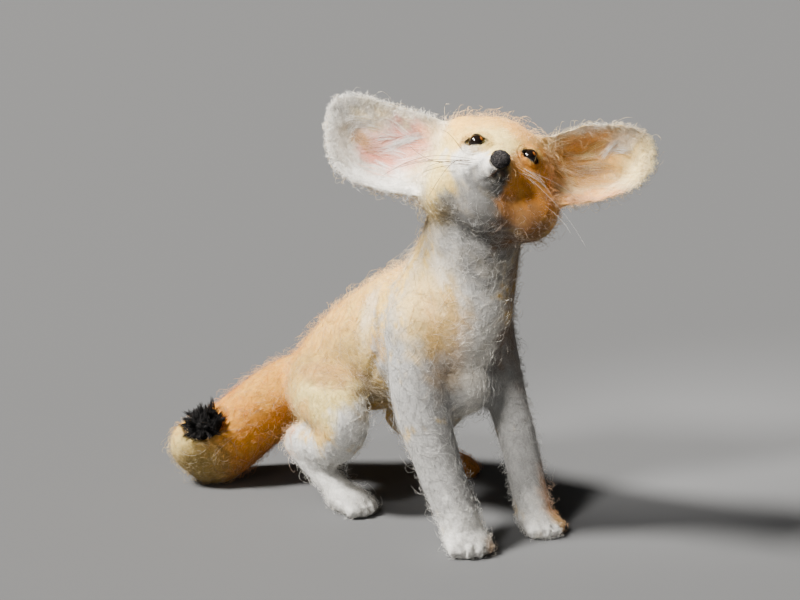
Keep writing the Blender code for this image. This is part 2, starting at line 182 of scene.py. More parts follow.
def as_piece(name, points, triangles):
    """A new object from points in metres and triangles, its faces shaded smooth."""
    mesh = bpy.data.meshes.new(name)
    mesh.vertices.add(len(points))
    mesh.vertices.foreach_set("co", np.ascontiguousarray(points, np.float32).ravel())
    mesh.loops.add(triangles.size)
    mesh.loops.foreach_set("vertex_index", np.ascontiguousarray(triangles, np.int32).ravel())
    mesh.polygons.add(len(triangles))
    mesh.polygons.foreach_set("loop_start", np.arange(0, triangles.size, 3, dtype=np.int32))
    mesh.update(calc_edges=True)
    mesh.shade_smooth()
    return linked(name, mesh)


def ramp(value, low, high):
    """0 below low, 1 above high, and a smooth step between."""
    t = np.clip((value - low) / (high - low), 0, 1)
    return t * t * (3 - 2 * t)


# Ears in the head's axes: root, tip, half width
EARS = {
    "right": (np.array((2.0, -9.6, -1.5)), np.array((-3.0, -35.2, 0.6)), 9.7),
    "left": (np.array((2.0, 8.6, 2.4)), np.array((-1.0, 31.8, 12.4)), 8.6),
}


def ear_axes(side):
    """An ear's length and its axes in the head's: to its tip, out of its front, across it upwards."""
    root, tip, _ = EARS[side]
    length = np.linalg.norm(tip - root)
    axis = (tip - root) / length
    forward = np.array((1.0, 0, 0)) - axis[0] * axis
    forward /= np.linalg.norm(forward)
    across = np.cross(axis, forward)
    return length, axis, forward, across * np.sign(across[2])


def ear_place(points, normals, side):
    """How far along an ear and across it points are, and how much they are on its front.

    The first runs from 0 at the root to 1 at the tip, the second from -1 to 1 over the width,
    larger upwards, and the third from 0 to 1.
    """
    root, _, half_width = EARS[side]
    length, axis, forward, across = ear_axes(side)
    away = to_head(points) - root
    along, across = away @ axis / length, away @ across / half_width
    front = ramp(along, 0.04, 0.2) * (np.abs(across) < 1.4) * ramp(normals @ HEAD @ forward, 0.1, 0.4)
    return along, across, front


def oval(along, across, middle, sizes):
    """Distance from the middle of an oval on an ear, 1 at its edge."""
    return np.hypot((along - middle[0]) / sizes[0], (across - middle[1]) / sizes[1])


# Creases stabbed deep into the wool: start, end, half width and depth, in millimetres
CREASES = [
    ((-20.7, -19.1, 12.6), (-16.3, -15.4, 9.8), 1.3, 0.7),
    ((-10.6, -18.3, 12.8), (-16.3, -15.4, 9.8), 1.2, 0.5),
    ((-20, -20.6, 29.5), (-13.8, -17.1, 31.2), 1.8, 0.5),
    ((-13.8, -17.1, 31.2), (-9.0, -12.6, 29.5), 1.8, 0.6),
    ((-5.1, -11, 49.5), (-2.1, -13, 43.5), 1.5, 0.2),
    ((-2.1, -13, 43.5), (-2.6, -13, 38.5), 1.8, 0.35),
    ((-2.6, -13, 38.5), (-8.0, -10.8, 31.5), 1.8, 0.5),
    (from_head((16.6, 0.1, -3.2)), from_head((14.6, 0.3, -4.8)), 0.8, 0.3),
    (from_head((14.6, 0.3, -4.8)), from_head((11.0, -2.8, -5.8)), 1.0, 0.12),
    (from_head((15.2, 0.8, -3.9)), from_head((11.8, 3.4, -4.6)), 0.8, 0.35),
]
# Paws: where the toes begin, the way they point, half width
PAWS = (
    ((24.6, -10.4), (0.932, -0.361), 5.4),
    ((26.0, 10.0), (0.991, -0.132), 4.9),
    ((-10.0, -12.6), (0.985, 0.175), 4.7),
    ((-15.5, 24.0), (0.894, 0.447), 4.5),
)
for toes, (x, y), half in PAWS:
    for place, lead in ((-0.47, 3.1), (0.0, 3.9), (0.47, 3.1)):
        at = np.array(toes) + np.array((-y, x)) * half * place
        near, far = at + np.array((x, y)) * (lead - 3.4), at + np.array((x, y)) * (lead + 1.0)
        CREASES.append(((*near, 3.9), (*far, 2.0), 0.75, 0.55))
        CREASES.append(((*far, 2.0), (*far, 0.0), 0.85, 0.7))


def creased(points):
    """How deep points lie in the creases, in millimetres, and their share of the full depth, 0 to 1."""
    depth, share = np.zeros(len(points)), np.zeros(len(points))
    for start, end, width, full in CREASES:
        start, end = np.array(start), np.array(end)
        along = np.clip((points - start) @ (end - start) / ((end - start) @ (end - start)), 0, 1)
        away = lengths(points - start - along[:, None] * (end - start)) / width
        here = np.clip(1 - away**2, 0, 1) ** 2
        depth, share = np.maximum(depth, here * full), np.maximum(share, here)
    return depth, share


parts, start = [], 0
for name in WOOL_NODES:
    points, _, corners = arrays(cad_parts[name].data)
    parts.append((points, corners + start))
    start += len(points)
skin = as_piece("felt_skin", np.vstack([p for p, _ in parts]), np.vstack([c for _, c in parts]))
skin.modifiers.new("merge", "WELD").merge_threshold = 1e-6
evaluated(skin)
points, normals, _ = arrays(skin.data)
skin.data.vertices.foreach_set("co", (points + normals * SWELL).ravel())
remesh = skin.modifiers.new("felt", "REMESH")
remesh.mode, remesh.voxel_size, remesh.use_smooth_shade = "VOXEL", GRAIN, True
soften = skin.modifiers.new("soften", "SMOOTH")
soften.factor, soften.iterations = 0.5, 5
evaluated(skin)

# Where the black tuft sits, the wool is rubbed smooth and round
TUFT = placed((-49.3, -26.1, 13.8))
away = lengths(arrays(skin.data)[0] - TUFT)
worn = skin.vertex_groups.new(name="worn")
for k in np.flatnonzero(away < 8e-3):
    worn.add([int(k)], float(ramp(-away[k], -8e-3, -5.5e-3)), "REPLACE")
rubbed = skin.modifiers.new("rubbed", "SMOOTH")
rubbed.factor, rubbed.iterations, rubbed.vertex_group = 0.5, 70, "worn"
evaluated(skin)

# The skin is pressed in along the creases and in the ears' cups, and set in by its nap
CUP_DEPTH, UNEVEN = 0.75e-3, 0.05e-3
points, normals, _ = arrays(skin.data)
pressed = creased(layout(points))[0] * 1e-3
for side in EARS:
    along, across, front = ear_place(layout(points), normals, side)
    pressed += CUP_DEPTH * front * (1 - ramp(oval(along, across, (0.5, 0.02), (0.4, 0.62)), 0.75, 1.05))
pressed -= UNEVEN * np.sin(points @ (900, 700, 1100)) * np.sin(points @ (-800, 1200, 600) + 1.0)
points = points - normals * (SWELL + NAP + pressed)[:, None]
points[:, 2] -= NAP * np.clip(1.2 - points[:, 2] / 1.2e-3, 0, 1)
points[:, 2] = np.maximum(points[:, 2], 0.0)
skin.data.vertices.foreach_set("co", points.ravel())
skin.data.update()
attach(skin, "root")
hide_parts(*WOOL_NODES)

bpy.context.view_layer.objects.active = skin
skin.select_set(True)
bpy.ops.object.mode_set(mode="EDIT")
bpy.ops.mesh.select_all(action="SELECT")
bpy.ops.uv.smart_project(island_margin=0.002)
bpy.ops.object.mode_set(mode="OBJECT")
skin.select_set(False)
skin_points, skin_normals, skin_corners = arrays(skin.data)
loops = np.empty(len(skin.data.loop_triangles) * 3, np.int32)
skin.data.loop_triangles.foreach_get("loops", loops)
skin_unwrap = np.empty(len(skin.data.loops) * 2, np.float32)
skin.data.uv_layers[0].data.foreach_get("uv", skin_unwrap)
skin_unwrap = skin_unwrap.reshape(-1, 2)[loops].reshape(-1, 3, 2)
skin.data.uv_layers.remove(skin.data.uv_layers[0])


# Colours of the wool. The body is built of cream and peach fibre, and thin veils of white, tan,
# orange and pink fibre are laid over it and needled down, so their edges are soft and ragged.
# Some veils are painted shade: grey, greyed white and darker tints where the throat, neck, belly,
# forelegs, jaw, tail and ears fall in shade, and the wool is painted darker in the creases. The
# ears' top rims are partly painted light. The felt under the fibres is painted darker as the
# shade of the fibres over it.
WHITE, IVORY, CREAM = (0.88, 0.86, 0.81), (0.94, 0.74, 0.27), (0.92, 0.62, 0.17)
PEACH, TAN, ORANGE = (0.93, 0.49, 0.08), (0.68, 0.36, 0.11), (0.92, 0.36, 0.02)
# The next colour is painted shade: white wool greyed for the forelegs, which stand in shade
SHADED_WHITE = (0.47, 0.46, 0.44)
RUST, OLIVE, UMBER = (0.6, 0.2, 0.015), (0.42, 0.29, 0.09), (0.22, 0.11, 0.04)
# The grey in the next line is painted shade, laid on the neck, throat, chin, belly and in an ear's cup
PINK, SHADE_GREY, SOOT = (0.84, 0.3, 0.2), (0.15, 0.145, 0.135), (0.01, 0.009, 0.009)

# Veils of the body and, in the head's axes, of the head: colour, middle, half sizes in X, Y and Z,
# strength, softness of the edge
VEILS = {
    "body": (
        (PEACH, (-30, 0, 38), (22, 20, 17), 0.65, 0.7),
        (PEACH, (-6, 0, 56), (20, 13, 12), 0.35, 0.7),
        (OLIVE, (-13, -14, 34.5), (11, 6, 6.0), 0.65, 1.1),
        (OLIVE, (-27, -15, 32), (5, 5, 5), 0.45, 0.9),
        (WHITE, (-7.5, -11.5, 47), (2.6, 4, 8), 0.4, 0.9),
        (WHITE, (12, -4, 40), (15, 15, 22), 0.92, 0.35),
        (TAN, (-1.5, -13, 39.5), (3.2, 3.5, 4), 0.55, 0.8),
        (CREAM, (4, -13, 54), (7, 5, 9), 0.7, 0.8),
        (WHITE, (18, -4, 62), (10, 11, 15), 0.85, 0.4),
        (OLIVE, (6.5, -9.5, 62), (7, 6, 9), 0.65, 1.0),
        (TAN, (12.5, -12, 53), (3, 3, 3.6), 0.25, 0.9),
        # Painted shade: the forelegs' white wool greyed where they stand in shade
        (SHADED_WHITE, (9, -11, 35), (11, 9, 20), 1.0, 0.6),
        (SHADED_WHITE, (16, 11, 33), (10, 9, 18), 1.0, 0.3),
        # Painted shade: grey on the neck's front under the head
        (SHADE_GREY, (21, -3, 67), (9, 11, 10.5), 0.85, 1.2),
        # Painted shade: the lower forelegs' white wool greyed likewise
        (SHADED_WHITE, (19, -11, 16), (14, 9, 14), 1.0, 0.3),
        (SHADED_WHITE, (21, 11, 16), (13, 9, 14), 1.0, 0.3),
        (WHITE, (25, -11, 2), (9, 8, 9), 1.0, 0.6),
        (CREAM, (12.5, -11.5, 50), (7, 6, 9), 0.75, 1.0),
        (PEACH, (16.0, -8.8, 43), (4.5, 4.5, 9), 0.35, 1.2),
        (OLIVE, (15.6, -9.4, 45.0), (2.2, 2.6, 6), 0.28, 1.2),
        (TAN, (12.9, -11.2, 50.4), (2.0, 2.4, 3.0), 0.25, 1.2),
        (OLIVE, (15.8, -5.2, 35.0), (3.5, 3.5, 2.6), 0.2, 1.2),
        # Painted shade: dark brown on the neck's left side
        (UMBER, (17, 9, 56), (9, 7, 20), 0.7, 1.0),
        # Painted shade: grey under the belly
        (SHADE_GREY, (-7.5, -9, 27.0), (9, 9, 5.5), 0.6, 1.1),
        (WHITE, (27, 10, 2), (9, 8, 8), 1.0, 0.6),
        (IVORY, (-14.5, -18, 26), (8, 7, 7), 0.95, 0.4),
        (TAN, (-15, -17, 31.4), (9, 5, 2.4), 0.7, 0.9),
        (PEACH, (-19.0, -20.5, 22.2), (3, 3, 3.5), 0.6, 0.9),
        (WHITE, (-4.0, -14.5, 18.0), (7.5, 8, 11), 1.0, 0.7),
        (WHITE, (-9.5, -16, 10.5), (9, 9, 7), 1.0, 0.5),
        (WHITE, (-23, -16, 8), (15, 9, 10.0), 1.0, 0.4),
        (WHITE, (-9, -13, 4), (12, 8, 7), 1.0, 0.3),
        # Painted shade: tan in the crease between thigh and shank
        (TAN, (-14.0, -20.4, 20.0), (2.8, 3, 2.4), 0.35, 1.0),
        (WHITE, (-20, 19, 18), (14, 9, 11), 0.8, 0.4),
        (ORANGE, (-18, 23, 4), (16, 9, 7), 1.0, 0.4),
        (ORANGE, (-45, -14, 16), (15, 16, 15), 0.85, 0.5),
        (PEACH, (-42, -11, 26), (12, 12, 8), 0.6, 0.6),
        (RUST, (-44, -15, 5), (12, 14, 5), 0.8, 0.6),
        (IVORY, (-50, -33, 9), (6.5, 5.5, 8), 0.65, 0.6),
        # Painted shade: olive under the tail's end, where it faces down
        (OLIVE, (-46.5, -30, 6.0), (8, 7, 6.5), 0.8, 0.8),
        (PEACH, (-54, -28, 12), (4, 5, 5), 0.6, 0.8),
        (TAN, (29.4, -7.2, 1.4), (2.4, 2.2, 2.4), 0.6, 0.9),
        (PEACH, (29, 14, 3.5), (4, 3, 3.5), 0.8, 0.8),
        (ORANGE, (25.5, 15.0, 9), (4, 4.5, 7), 0.6, 1.1),
    ),
    "head": (
        (PEACH, (-2, 0, 9), (15, 15, 9), 0.75, 0.5),
        (ORANGE, (7.5, 3.2, 7.5), (4.5, 3.6, 3.5), 0.45, 0.9),
        (IVORY, (10, -1.5, 3.5), (6, 5, 3.2), 0.8, 0.8),
        (IVORY, (1, -11, -5), (9, 7, 8), 0.8, 0.6),
        (WHITE, (9, -6, -2.2), (6, 4.5, 3.6), 0.9, 0.6),
        (WHITE, (12, -3.0, -4), (7, 4.4, 3.6), 0.95, 0.5),
        (WHITE, (4, 0, -11.5), (12, 9, 7), 0.7, 0.5),
        # Painted shade: grey on the throat and on the chin under the muzzle
        (SHADE_GREY, (6, 0.5, -11), (11, 10, 8), 0.92, 1.0),
        (SHADE_GREY, (12.5, -1.2, -7.2), (7, 6.0, 4.6), 0.9, 0.8),
        (ORANGE, (5, 10.5, -3), (11, 7.5, 8.5), 0.85, 0.5),
        (ORANGE, (11.8, 4.6, -2.0), (4, 2.6, 4), 0.8, 0.8),
        # Painted shade: darker rust on the lower left cheek, under the muzzle
        (RUST, (8, 9.5, -8.0), (7, 5.0, 5.5), 0.8, 1.1),
        (UMBER, (5, 9.5, -11.5), (9, 6, 5.0), 0.8, 1.0),
        # Painted shade: dark brown at the left eye's inner corner, next to the muzzle
        (UMBER, (10.6, 4.2, 1.8), (2.4, 2.0, 2.2), 0.5, 1.0),
        (UMBER, (8.6, -7.2, 2.2), (1.6, 1.8, 1.3), 0.35, 1.0),
        # Painted shade: olive under the right jaw
        (OLIVE, (0, -10.5, -11.5), (5, 5, 4), 0.45, 0.9),
        (SOOT, (14.8, 0.7, -4.2), (3.2, 2.9, 2.0), 0.9, 0.9),
    ),
}


def drift(points, size, seed):
    """Smooth random value near -1 to 1: the mean of eight sines along random ways, about size long."""
    draw = np.random.default_rng(seed)
    ways = draw.normal(size=(3, 8))
    ways *= 2 * math.pi / size * draw.uniform(0.7, 1.4, 8) / np.linalg.norm(ways, axis=0)
    return np.sin(points @ ways + draw.uniform(0, 2 * math.pi, 8)).sum(1) / 2.8


# Veils on the ears' fronts: colour, middle and half sizes along and across, strength
EAR_VEILS = {
    "right": (
        (CREAM, (0.16, 0.2), (0.2, 0.9), 0.6),
        (IVORY, (0.55, 0.85), (0.35, 0.2), 0.5),
        (PINK, (0.48, 0.1), (0.27, 0.52), 0.7),
        (PINK, (0.36, 0.46), (0.18, 0.26), 0.65),
        # Painted shade: a tan streak along the inner side of the rim
        (TAN, (0.74, 0.04), (0.09, 0.2), 0.75),
        (PINK, (0.58, -0.22), (0.16, 0.22), 0.7),
        # Painted shade: grey in the cup near the tip, under the top rim
        (SHADE_GREY, (0.88, 0.25), (0.12, 0.3), 0.12),
        (IVORY, (0.72, 0.45), (0.14, 0.16), 0.45),
    ),
    "left": (
        (IVORY, (0.9, -0.2), (0.25, 0.6), 0.6),
        (ORANGE, (0.3, -0.95), (0.42, 0.34), 0.75),
        (PEACH, (0.46, 0.06), (0.36, 0.66), 0.8),
        (TAN, (0.42, -0.1), (0.3, 0.42), 0.55),
        (PINK, (0.54, 0.5), (0.28, 0.3), 0.12),
        (UMBER, (0.4, -0.12), (0.22, 0.28), 0.5),
        (WHITE, (0.77, 0.42), (0.11, 0.28), 0.5),
    ),
}


def wool_colour(points, normals):
    """Colour of the wool at layout places: veils over cream, mixed by how deep a point is in each, with
    painted shade in some veils and in the creases.
    """
    colour = np.tile(CREAM, (len(points), 1))
    ragged = 0.16 * drift(points, 6.0, 1) + 0.1 * drift(points, 2.2, 2)
    for where, places in (("body", points), ("head", to_head(points))):
        for tint, middle, sizes, strength, soft in VEILS[where]:
            away = lengths((places - middle) / np.array(sizes))
            amount = strength * (1 - ramp(away + ragged, 1 - soft / 2, 1 + soft / 2))
            colour += (np.array(tint) - colour) * amount[:, None]
    for side in EARS:
        along, across, front = ear_place(points, normals, side)
        on_ear = 0.95 * ramp(along, 0.02, 0.2) * (np.abs(across) < 1.4)
        place = (along + 0.1 * ragged, across + 0.45 * ragged)
        facing = ramp(normals @ HEAD[:, 0], -0.4, 0.2)[:, None] * (1.0 if side == "right" else 0.35)
        colour += (CREAM + (np.array(WHITE) - CREAM) * facing - colour) * on_ear[:, None]
        for tint, middle, sizes, strength in EAR_VEILS[side]:
            amount = front * strength * (1 - ramp(oval(*place, middle, sizes), 0.55, 1.25))
            colour += (np.array(tint) - colour) * amount[:, None]
        # White rims on the ears' fronts: the right ear's lower rim is its own white wool; the top rims are
        # partly their own white wool and partly painted light, where the cup's edge faces down into shade
        lower = ramp(-across, 0.5, 0.8) if side == "right" else 0.0
        rim = 0.8 * front * np.maximum(ramp(across, 0.62, 0.86), lower)
        colour += (np.array(WHITE) - colour) * rim[:, None]
    specks = np.clip(0.5 * drift(points, 3.4, 5) + 0.3 * drift(points, 1.6, 6), 0, 1) * 0.14
    specks *= (points[:, 0] > -14) * ramp(points[:, 2], 30, 42)
    colour += (np.array(OLIVE) - colour) * specks[:, None]
    # Painted shade: the wool is painted darker in the creases, where shade falls
    colour *= (1 - 0.35 * creased(points)[1])[:, None]
    return colour * (1 + 0.05 * drift(points, 4.0, 7) + 0.04 * drift(points, 1.2, 8))[:, None]


def paint(made, colours):
    """Lays one colour on each point of a piece, for its wool material to read."""
    layer = made.data.color_attributes.new("wool", "FLOAT_COLOR", "POINT")
    layer.data.foreach_set("color", np.c_[np.clip(colours, 0, 1), np.ones(len(colours))].ravel())


def wool_material(name, bump_depth, sheen=0.12):
    """Matt wool: its laid colour with fine grain, a soft sheen, and a bump of matted fibres."""
    made, nodes, links, shader = new_material(name)
    set_inputs(shader, Roughness=0.92, Specular_IOR_Level=0.12, Sheen_Weight=sheen, Sheen_Roughness=0.6)
    laid = nodes.new("ShaderNodeAttribute")
    laid.attribute_name = "wool"
    place = nodes.new("ShaderNodeTexCoord")
    grain = nodes.new("ShaderNodeTexNoise")
    set_inputs(grain, Scale=2600.0, Detail=3.0)
    span = nodes.new("ShaderNodeMapRange")
    set_inputs(span, From_Min=0.3, From_Max=0.7, To_Min=0.8, To_Max=1.08)
    mix = nodes.new("ShaderNodeMix")
    mix.data_type, mix.blend_type = "RGBA", "MULTIPLY"
    mix.inputs[0].default_value = 1.0
    links.new(place.outputs["Object"], grain.inputs["Vector"])
    links.new(grain.outputs["Fac"], span.inputs["Value"])
    links.new(laid.outputs["Color"], mix.inputs[6])
    links.new(span.outputs["Result"], mix.inputs[7])
    links.new(mix.outputs[2], shader.inputs["Base Color"])
    if bump_depth:
        matted = nodes.new("ShaderNodeTexNoise")
        set_inputs(matted, Scale=1500.0, Detail=5.0, Roughness=0.65, Distortion=1.6)
        bump = nodes.new("ShaderNodeBump")
        set_inputs(bump, Distance=bump_depth, Strength=0.8)
        links.new(place.outputs["Object"], matted.inputs["Vector"])
        links.new(matted.outputs["Fac"], bump.inputs["Height"])
        links.new(bump.outputs["Normal"], shader.inputs["Normal"])
    return made


FELT_SHADE = 0.82
felt = wool_material("felt", 0.00016)
fibre, silk = wool_material("fibre", 0.0), wool_material("silk", 0.0, 0.8)
black_felt, black_fibre = wool_material("black_felt", 0.0003, 0.03), wool_material("black_fibre", 0.0, 0.03)
skin.data.materials.clear()
skin.data.materials.append(felt)
paint(skin, wool_colour(layout(skin_points), skin_normals) * FELT_SHADE)


# Laid fibres. The last wool on the felt is thin and only half needled in: wavy strands a few
# millimetres long follow each limb in swirls, and both of their ends sink into the felt.
# Middle lines of trunk and neck, forelegs, each hind leg and its foot, tail, head, and ears
LIMBS = (
    ((-40, -3, 22), (-21.5, 0, 33.5), (-8, 0, 39.5), (4.5, 0, 45.5), (11, 0.5, 58.5), (15.5, -0.5, 71)),
    ((4, -8.5, 50), (9, -10.3, 30), (14.5, -10.3, 17.5), (19.5, -9.8, 8.5), (26, -10.6, 2.6)),
    ((5, 8.5, 50), (13, 10.4, 29), (18, 10.6, 17.5), (21, 10.4, 9), (27, 10, 2.4)),
    ((-30, -8, 30), (-12.5, -14.5, 22), (-15.5, -14.8, 15.5), (-29.5, -14.5, 13.8)),
    ((-30.5, -14.5, 12), (-22, -14.2, 7.4), (-9, -12.4, 2.4)),
    ((-30, 8, 30), (-15.5, 17.5, 22), (-18.5, 18.8, 15.5), (-31.5, 17.5, 13.8)),
    ((-32.5, 17.5, 12), (-25.5, 19.5, 7.4), (-15, 24.5, 2.4)),
    ((-36, -1, 26), (-42.2, -8, 20.8), (-47.8, -16, 13.2), (-50.8, -23, 8), (-51.6, -30, 8)),
    from_head([(15, 0, -1), (8, 0, 0), (-6, 0, 2), (-12, 0, -6)]),
    from_head([(0, -6, -1), EARS["right"][1]]),
    from_head([(0, 6, 1.5), EARS["left"][1]]),
)


BEADS = {side: np.array((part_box(f"eye_{side}")[0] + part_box(f"eye_{side}")[1]) / 2) for side in EARS}
NOSE = np.array((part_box("nose")[0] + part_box("nose")[1]) / 2)
# Where no fibre is rooted: middle and radius
BARE = ((BEADS["right"], 2.7e-3), (BEADS["left"], 2.7e-3), (NOSE, 2.3e-3), (TUFT, 3.4e-3))


def sown(count, seed, density=None):
    """Roots spread at random over the skin: places, normals and places on its unwrap.

    Triangles are drawn by their area times the density at their middle, and a point in each.
    None grows near the beads, the nose or the tuft's seat.
    """
    draw = np.random.default_rng(seed)
    a, b, c = (skin_points[skin_corners[:, k]] for k in range(3))
    area = lengths(np.cross(b - a, c - a))
    for middle, clear in BARE:
        area = area * (lengths((a + b + c) / 3 - middle) > clear)
    if density is not None:
        area = area * density(layout((a + b + c) / 3), skin_normals[skin_corners[:, 0]])
    chosen = np.searchsorted(np.cumsum(area) / area.sum(), draw.random(count))
    share = draw.dirichlet((1, 1, 1), count)
    corners = skin_corners[chosen]
    place = (skin_points[corners] * share[..., None]).sum(1)
    normal = (skin_normals[corners] * share[..., None]).sum(1)
    unwrap = (skin_unwrap[chosen] * share[..., None]).sum(1)
    return place, normal / lengths(normal)[:, None], unwrap


def unit(ways):
    """Ways divided by their lengths, and zero where they are zero."""
    return ways / (lengths(ways)[..., None] + 1e-12)


def turned(way, normal, angle):
    """Ways in the surface, turned about its normal by an angle."""
    return way * np.cos(angle) + np.cross(normal, way) * np.sin(angle)


def lie(places, normals, swirl):
    """The way in which fibres lie: along the nearest limbs, turned in the surface by a slow swirl.

    Each limb's segments count by one over the sixth power of their distance, and the turn is
    drift times swirl, in radians.
    """
    points = layout(places)
    heads = np.array([p for limb in LIMBS for p in limb[:-1]], float)
    tails = np.array([p for limb in LIMBS for p in limb[1:]], float)
    span = tails - heads
    share = np.einsum("psk,sk->ps", points[:, None] - heads, span) / (span**2).sum(1)
    near = heads + span * np.clip(share, 0, 1)[..., None]
    weight = 1 / (lengths(points[:, None] - near) + 0.5) ** 6
    way = weight @ (span / lengths(span)[:, None])
    way = unit(way - (way * normals).sum(1)[:, None] * normals)
    return turned(way, normals, (swirl * drift(points, 9.0, 11))[:, None])


skin_tree = KDTree(len(skin_points))
for k, point in enumerate(skin_points):
    skin_tree.insert(point, k)
skin_tree.balance()
point_unwrap = np.zeros((len(skin_points), 2))
point_unwrap[skin_corners.ravel()] = skin_unwrap.reshape(-1, 2)


# Size of a fibre's patch on the unwrap, and how far fibres stay over the floor
PATCH, OVER_FLOOR = 0.003, 2e-5


def unwrapped(places):
    """Places on the skin's unwrap of the skin points nearest to the places."""
    return point_unwrap[[skin_tree.find(place)[1] for place in places]]


def on_skin(places):
    """Nearest places on the skin and the normals there, from two wraps 1 mm apart."""
    cloud = bpy.data.meshes.new("cloud")
    flat = places.reshape(-1, 3)
    cloud.vertices.add(len(flat))
    cloud.vertices.foreach_set("co", flat.astype(np.float32).ravel())
    made = linked("cloud", cloud)
    wrap = made.modifiers.new("wrap", "SHRINKWRAP")
    wrap.target, wrap.wrap_mode = skin, "ABOVE_SURFACE"
    found = []
    for lift in (0.0, 1e-3):
        wrap.offset = lift
        bpy.context.view_layer.update()
        wrapped = made.evaluated_get(bpy.context.evaluated_depsgraph_get()).data
        points = np.empty(len(flat) * 3, np.float32)
        wrapped.vertices.foreach_get("co", points)
        found.append(points.reshape(places.shape).astype(float))
    bpy.data.objects.remove(made)
    bpy.data.meshes.remove(cloud)
    return found[0], unit(found[1] - found[0])


def spun(name, paths, radius, colours, material, unwrap=None):
    """Fibres as three-sided tubes along paths, thinner to both ends and closed there.

    Each ring stands across its path, and its radius is the fibre's times the root of
    1 - (2 s - 1) to the fourth, with s from 0 to 1 along the fibre. All of a fibre lies in a
    small patch at its root's place on the skin's unwrap. None goes below the floor.
    """
    unwrap = unwrapped(paths[:, 0]) if unwrap is None else unwrap
    count, rings = paths.shape[:2]
    along = unit(np.gradient(paths, axis=1))
    side = unit(np.cross(along, np.roll(along, 1, axis=2) + (0.31, 0.17, 0.53)))
    other = np.cross(along, side)
    s = np.linspace(0, 1, rings)
    thick = radius[:, None] * np.sqrt(np.clip(1 - (2 * s - 1) ** 4, 0.05, 1))
    turn = 2 * math.pi / 3 * np.arange(3)
    across = side[:, :, None] * np.cos(turn)[:, None] + other[:, :, None] * np.sin(turn)[:, None]
    points = paths[:, :, None] + across * thick[:, :, None, None]
    points[..., 2] = np.maximum(points[..., 2], OVER_FLOOR)
    a = (np.arange(rings - 1)[:, None] * 3 + np.arange(3)).ravel()
    b = (np.arange(rings - 1)[:, None] * 3 + (np.arange(3) + 1) % 3).ravel()
    end = 3 * (rings - 1)
    one = np.vstack([np.c_[a, b, b + 3], np.c_[a, b + 3, a + 3], [[0, 2, 1], [end, end + 1, end + 2]]])
    triangles = (one + np.arange(count)[:, None, None] * rings * 3).reshape(-1, 3)
    made = as_piece(name, points.reshape(-1, 3), triangles)
    paint(made, np.repeat(colours, rings * 3, axis=0))
    spot = np.stack(np.broadcast_arrays(s[:, None] - 0.5, np.arange(3) / 2 - 0.5), axis=-1) * PATCH
    patch = (unwrap[:, None, None] + spot).reshape(-1, 2)[triangles.ravel()]
    made.data.uv_layers.new(name="OFBake").data.foreach_set("uv", patch.astype(np.float32).ravel())
    made.data.materials.append(material)
    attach(made, "root")
    return made


def fine(points):
    """1 on the muzzle, round the eyes and on the feet, where the fibres are finest, falling to 0."""
    ahead = to_head(points)
    face = ramp(ahead[:, 0], 3.0, 8.0) * ramp(-lengths(ahead), -22.0, -17.0)
    return np.maximum(face, 0.3 * ramp(-points[:, 2], -9.0, -4.0) * (points[:, 0] > -34))


def laid_fibres(name, count, seed, rings, length, radius, lift, swirl, jitter):
    """Wavy fibres on the skin: arcs in its plane from each root, wrapped on it, then lifted a little."""
    draw = np.random.default_rng(seed)
    place, normal, unwrap = sown(count, seed)
    turn = draw.normal(0, jitter, count)[:, None]
    way = turned(lie(place, normal, swirl), normal, turn)
    small = 1 - 0.45 * fine(layout(place))
    reach = draw.uniform(*length, count) * small
    s = np.linspace(0, 1, rings)
    curl = draw.normal(0, 1.1, (count, 1)) + draw.normal(0, 0.7, (count, 1)) * s
    angle = curl * np.linspace(-0.5, 1, rings)
    side = np.cross(normal, way)
    steps = way[:, None] * np.cos(angle)[..., None] + side[:, None] * np.sin(angle)[..., None]
    steps *= (reach / (rings - 1))[:, None, None]
    surface, normals = on_skin(place[:, None] + np.cumsum(steps, axis=1) - steps[:, :1] * rings / 2)
    height = draw.uniform(*lift, (count, 1)) * np.sin(math.pi * s) ** 0.6 - 0.04e-3
    colours = wool_colour(layout(place), normal)
    colours *= draw.uniform(0.66, 1.28, (count, 1))
    pale = (draw.random(count) < 0.2)[:, None] * 0.55
    colours += (np.array(WHITE) * 1.02 - colours) * pale
    paths = surface + normals * height[..., None]
    made = spun(name, paths, draw.uniform(*radius, count) * small, colours, fibre, unwrap)


# Points along a fibre, its length, its radius and how high it rises over the felt
NAP_FIBRES = dict(rings=5, length=(1.6e-3, 4.2e-3), radius=(0.018e-3, 0.036e-3), lift=(0.02e-3, 0.16e-3))
SWIRL_FIBRES = dict(rings=10, length=(5e-3, 11e-3), radius=(0.016e-3, 0.028e-3), lift=(0.1e-3, 0.4e-3))
for k in range(3):
    laid_fibres(f"nap_{k}", 5200, 100 + k, swirl=0.9, jitter=0.45, **NAP_FIBRES)
laid_fibres("swirls", 2800, 200, swirl=1.3, jitter=0.7, **SWIRL_FIBRES)


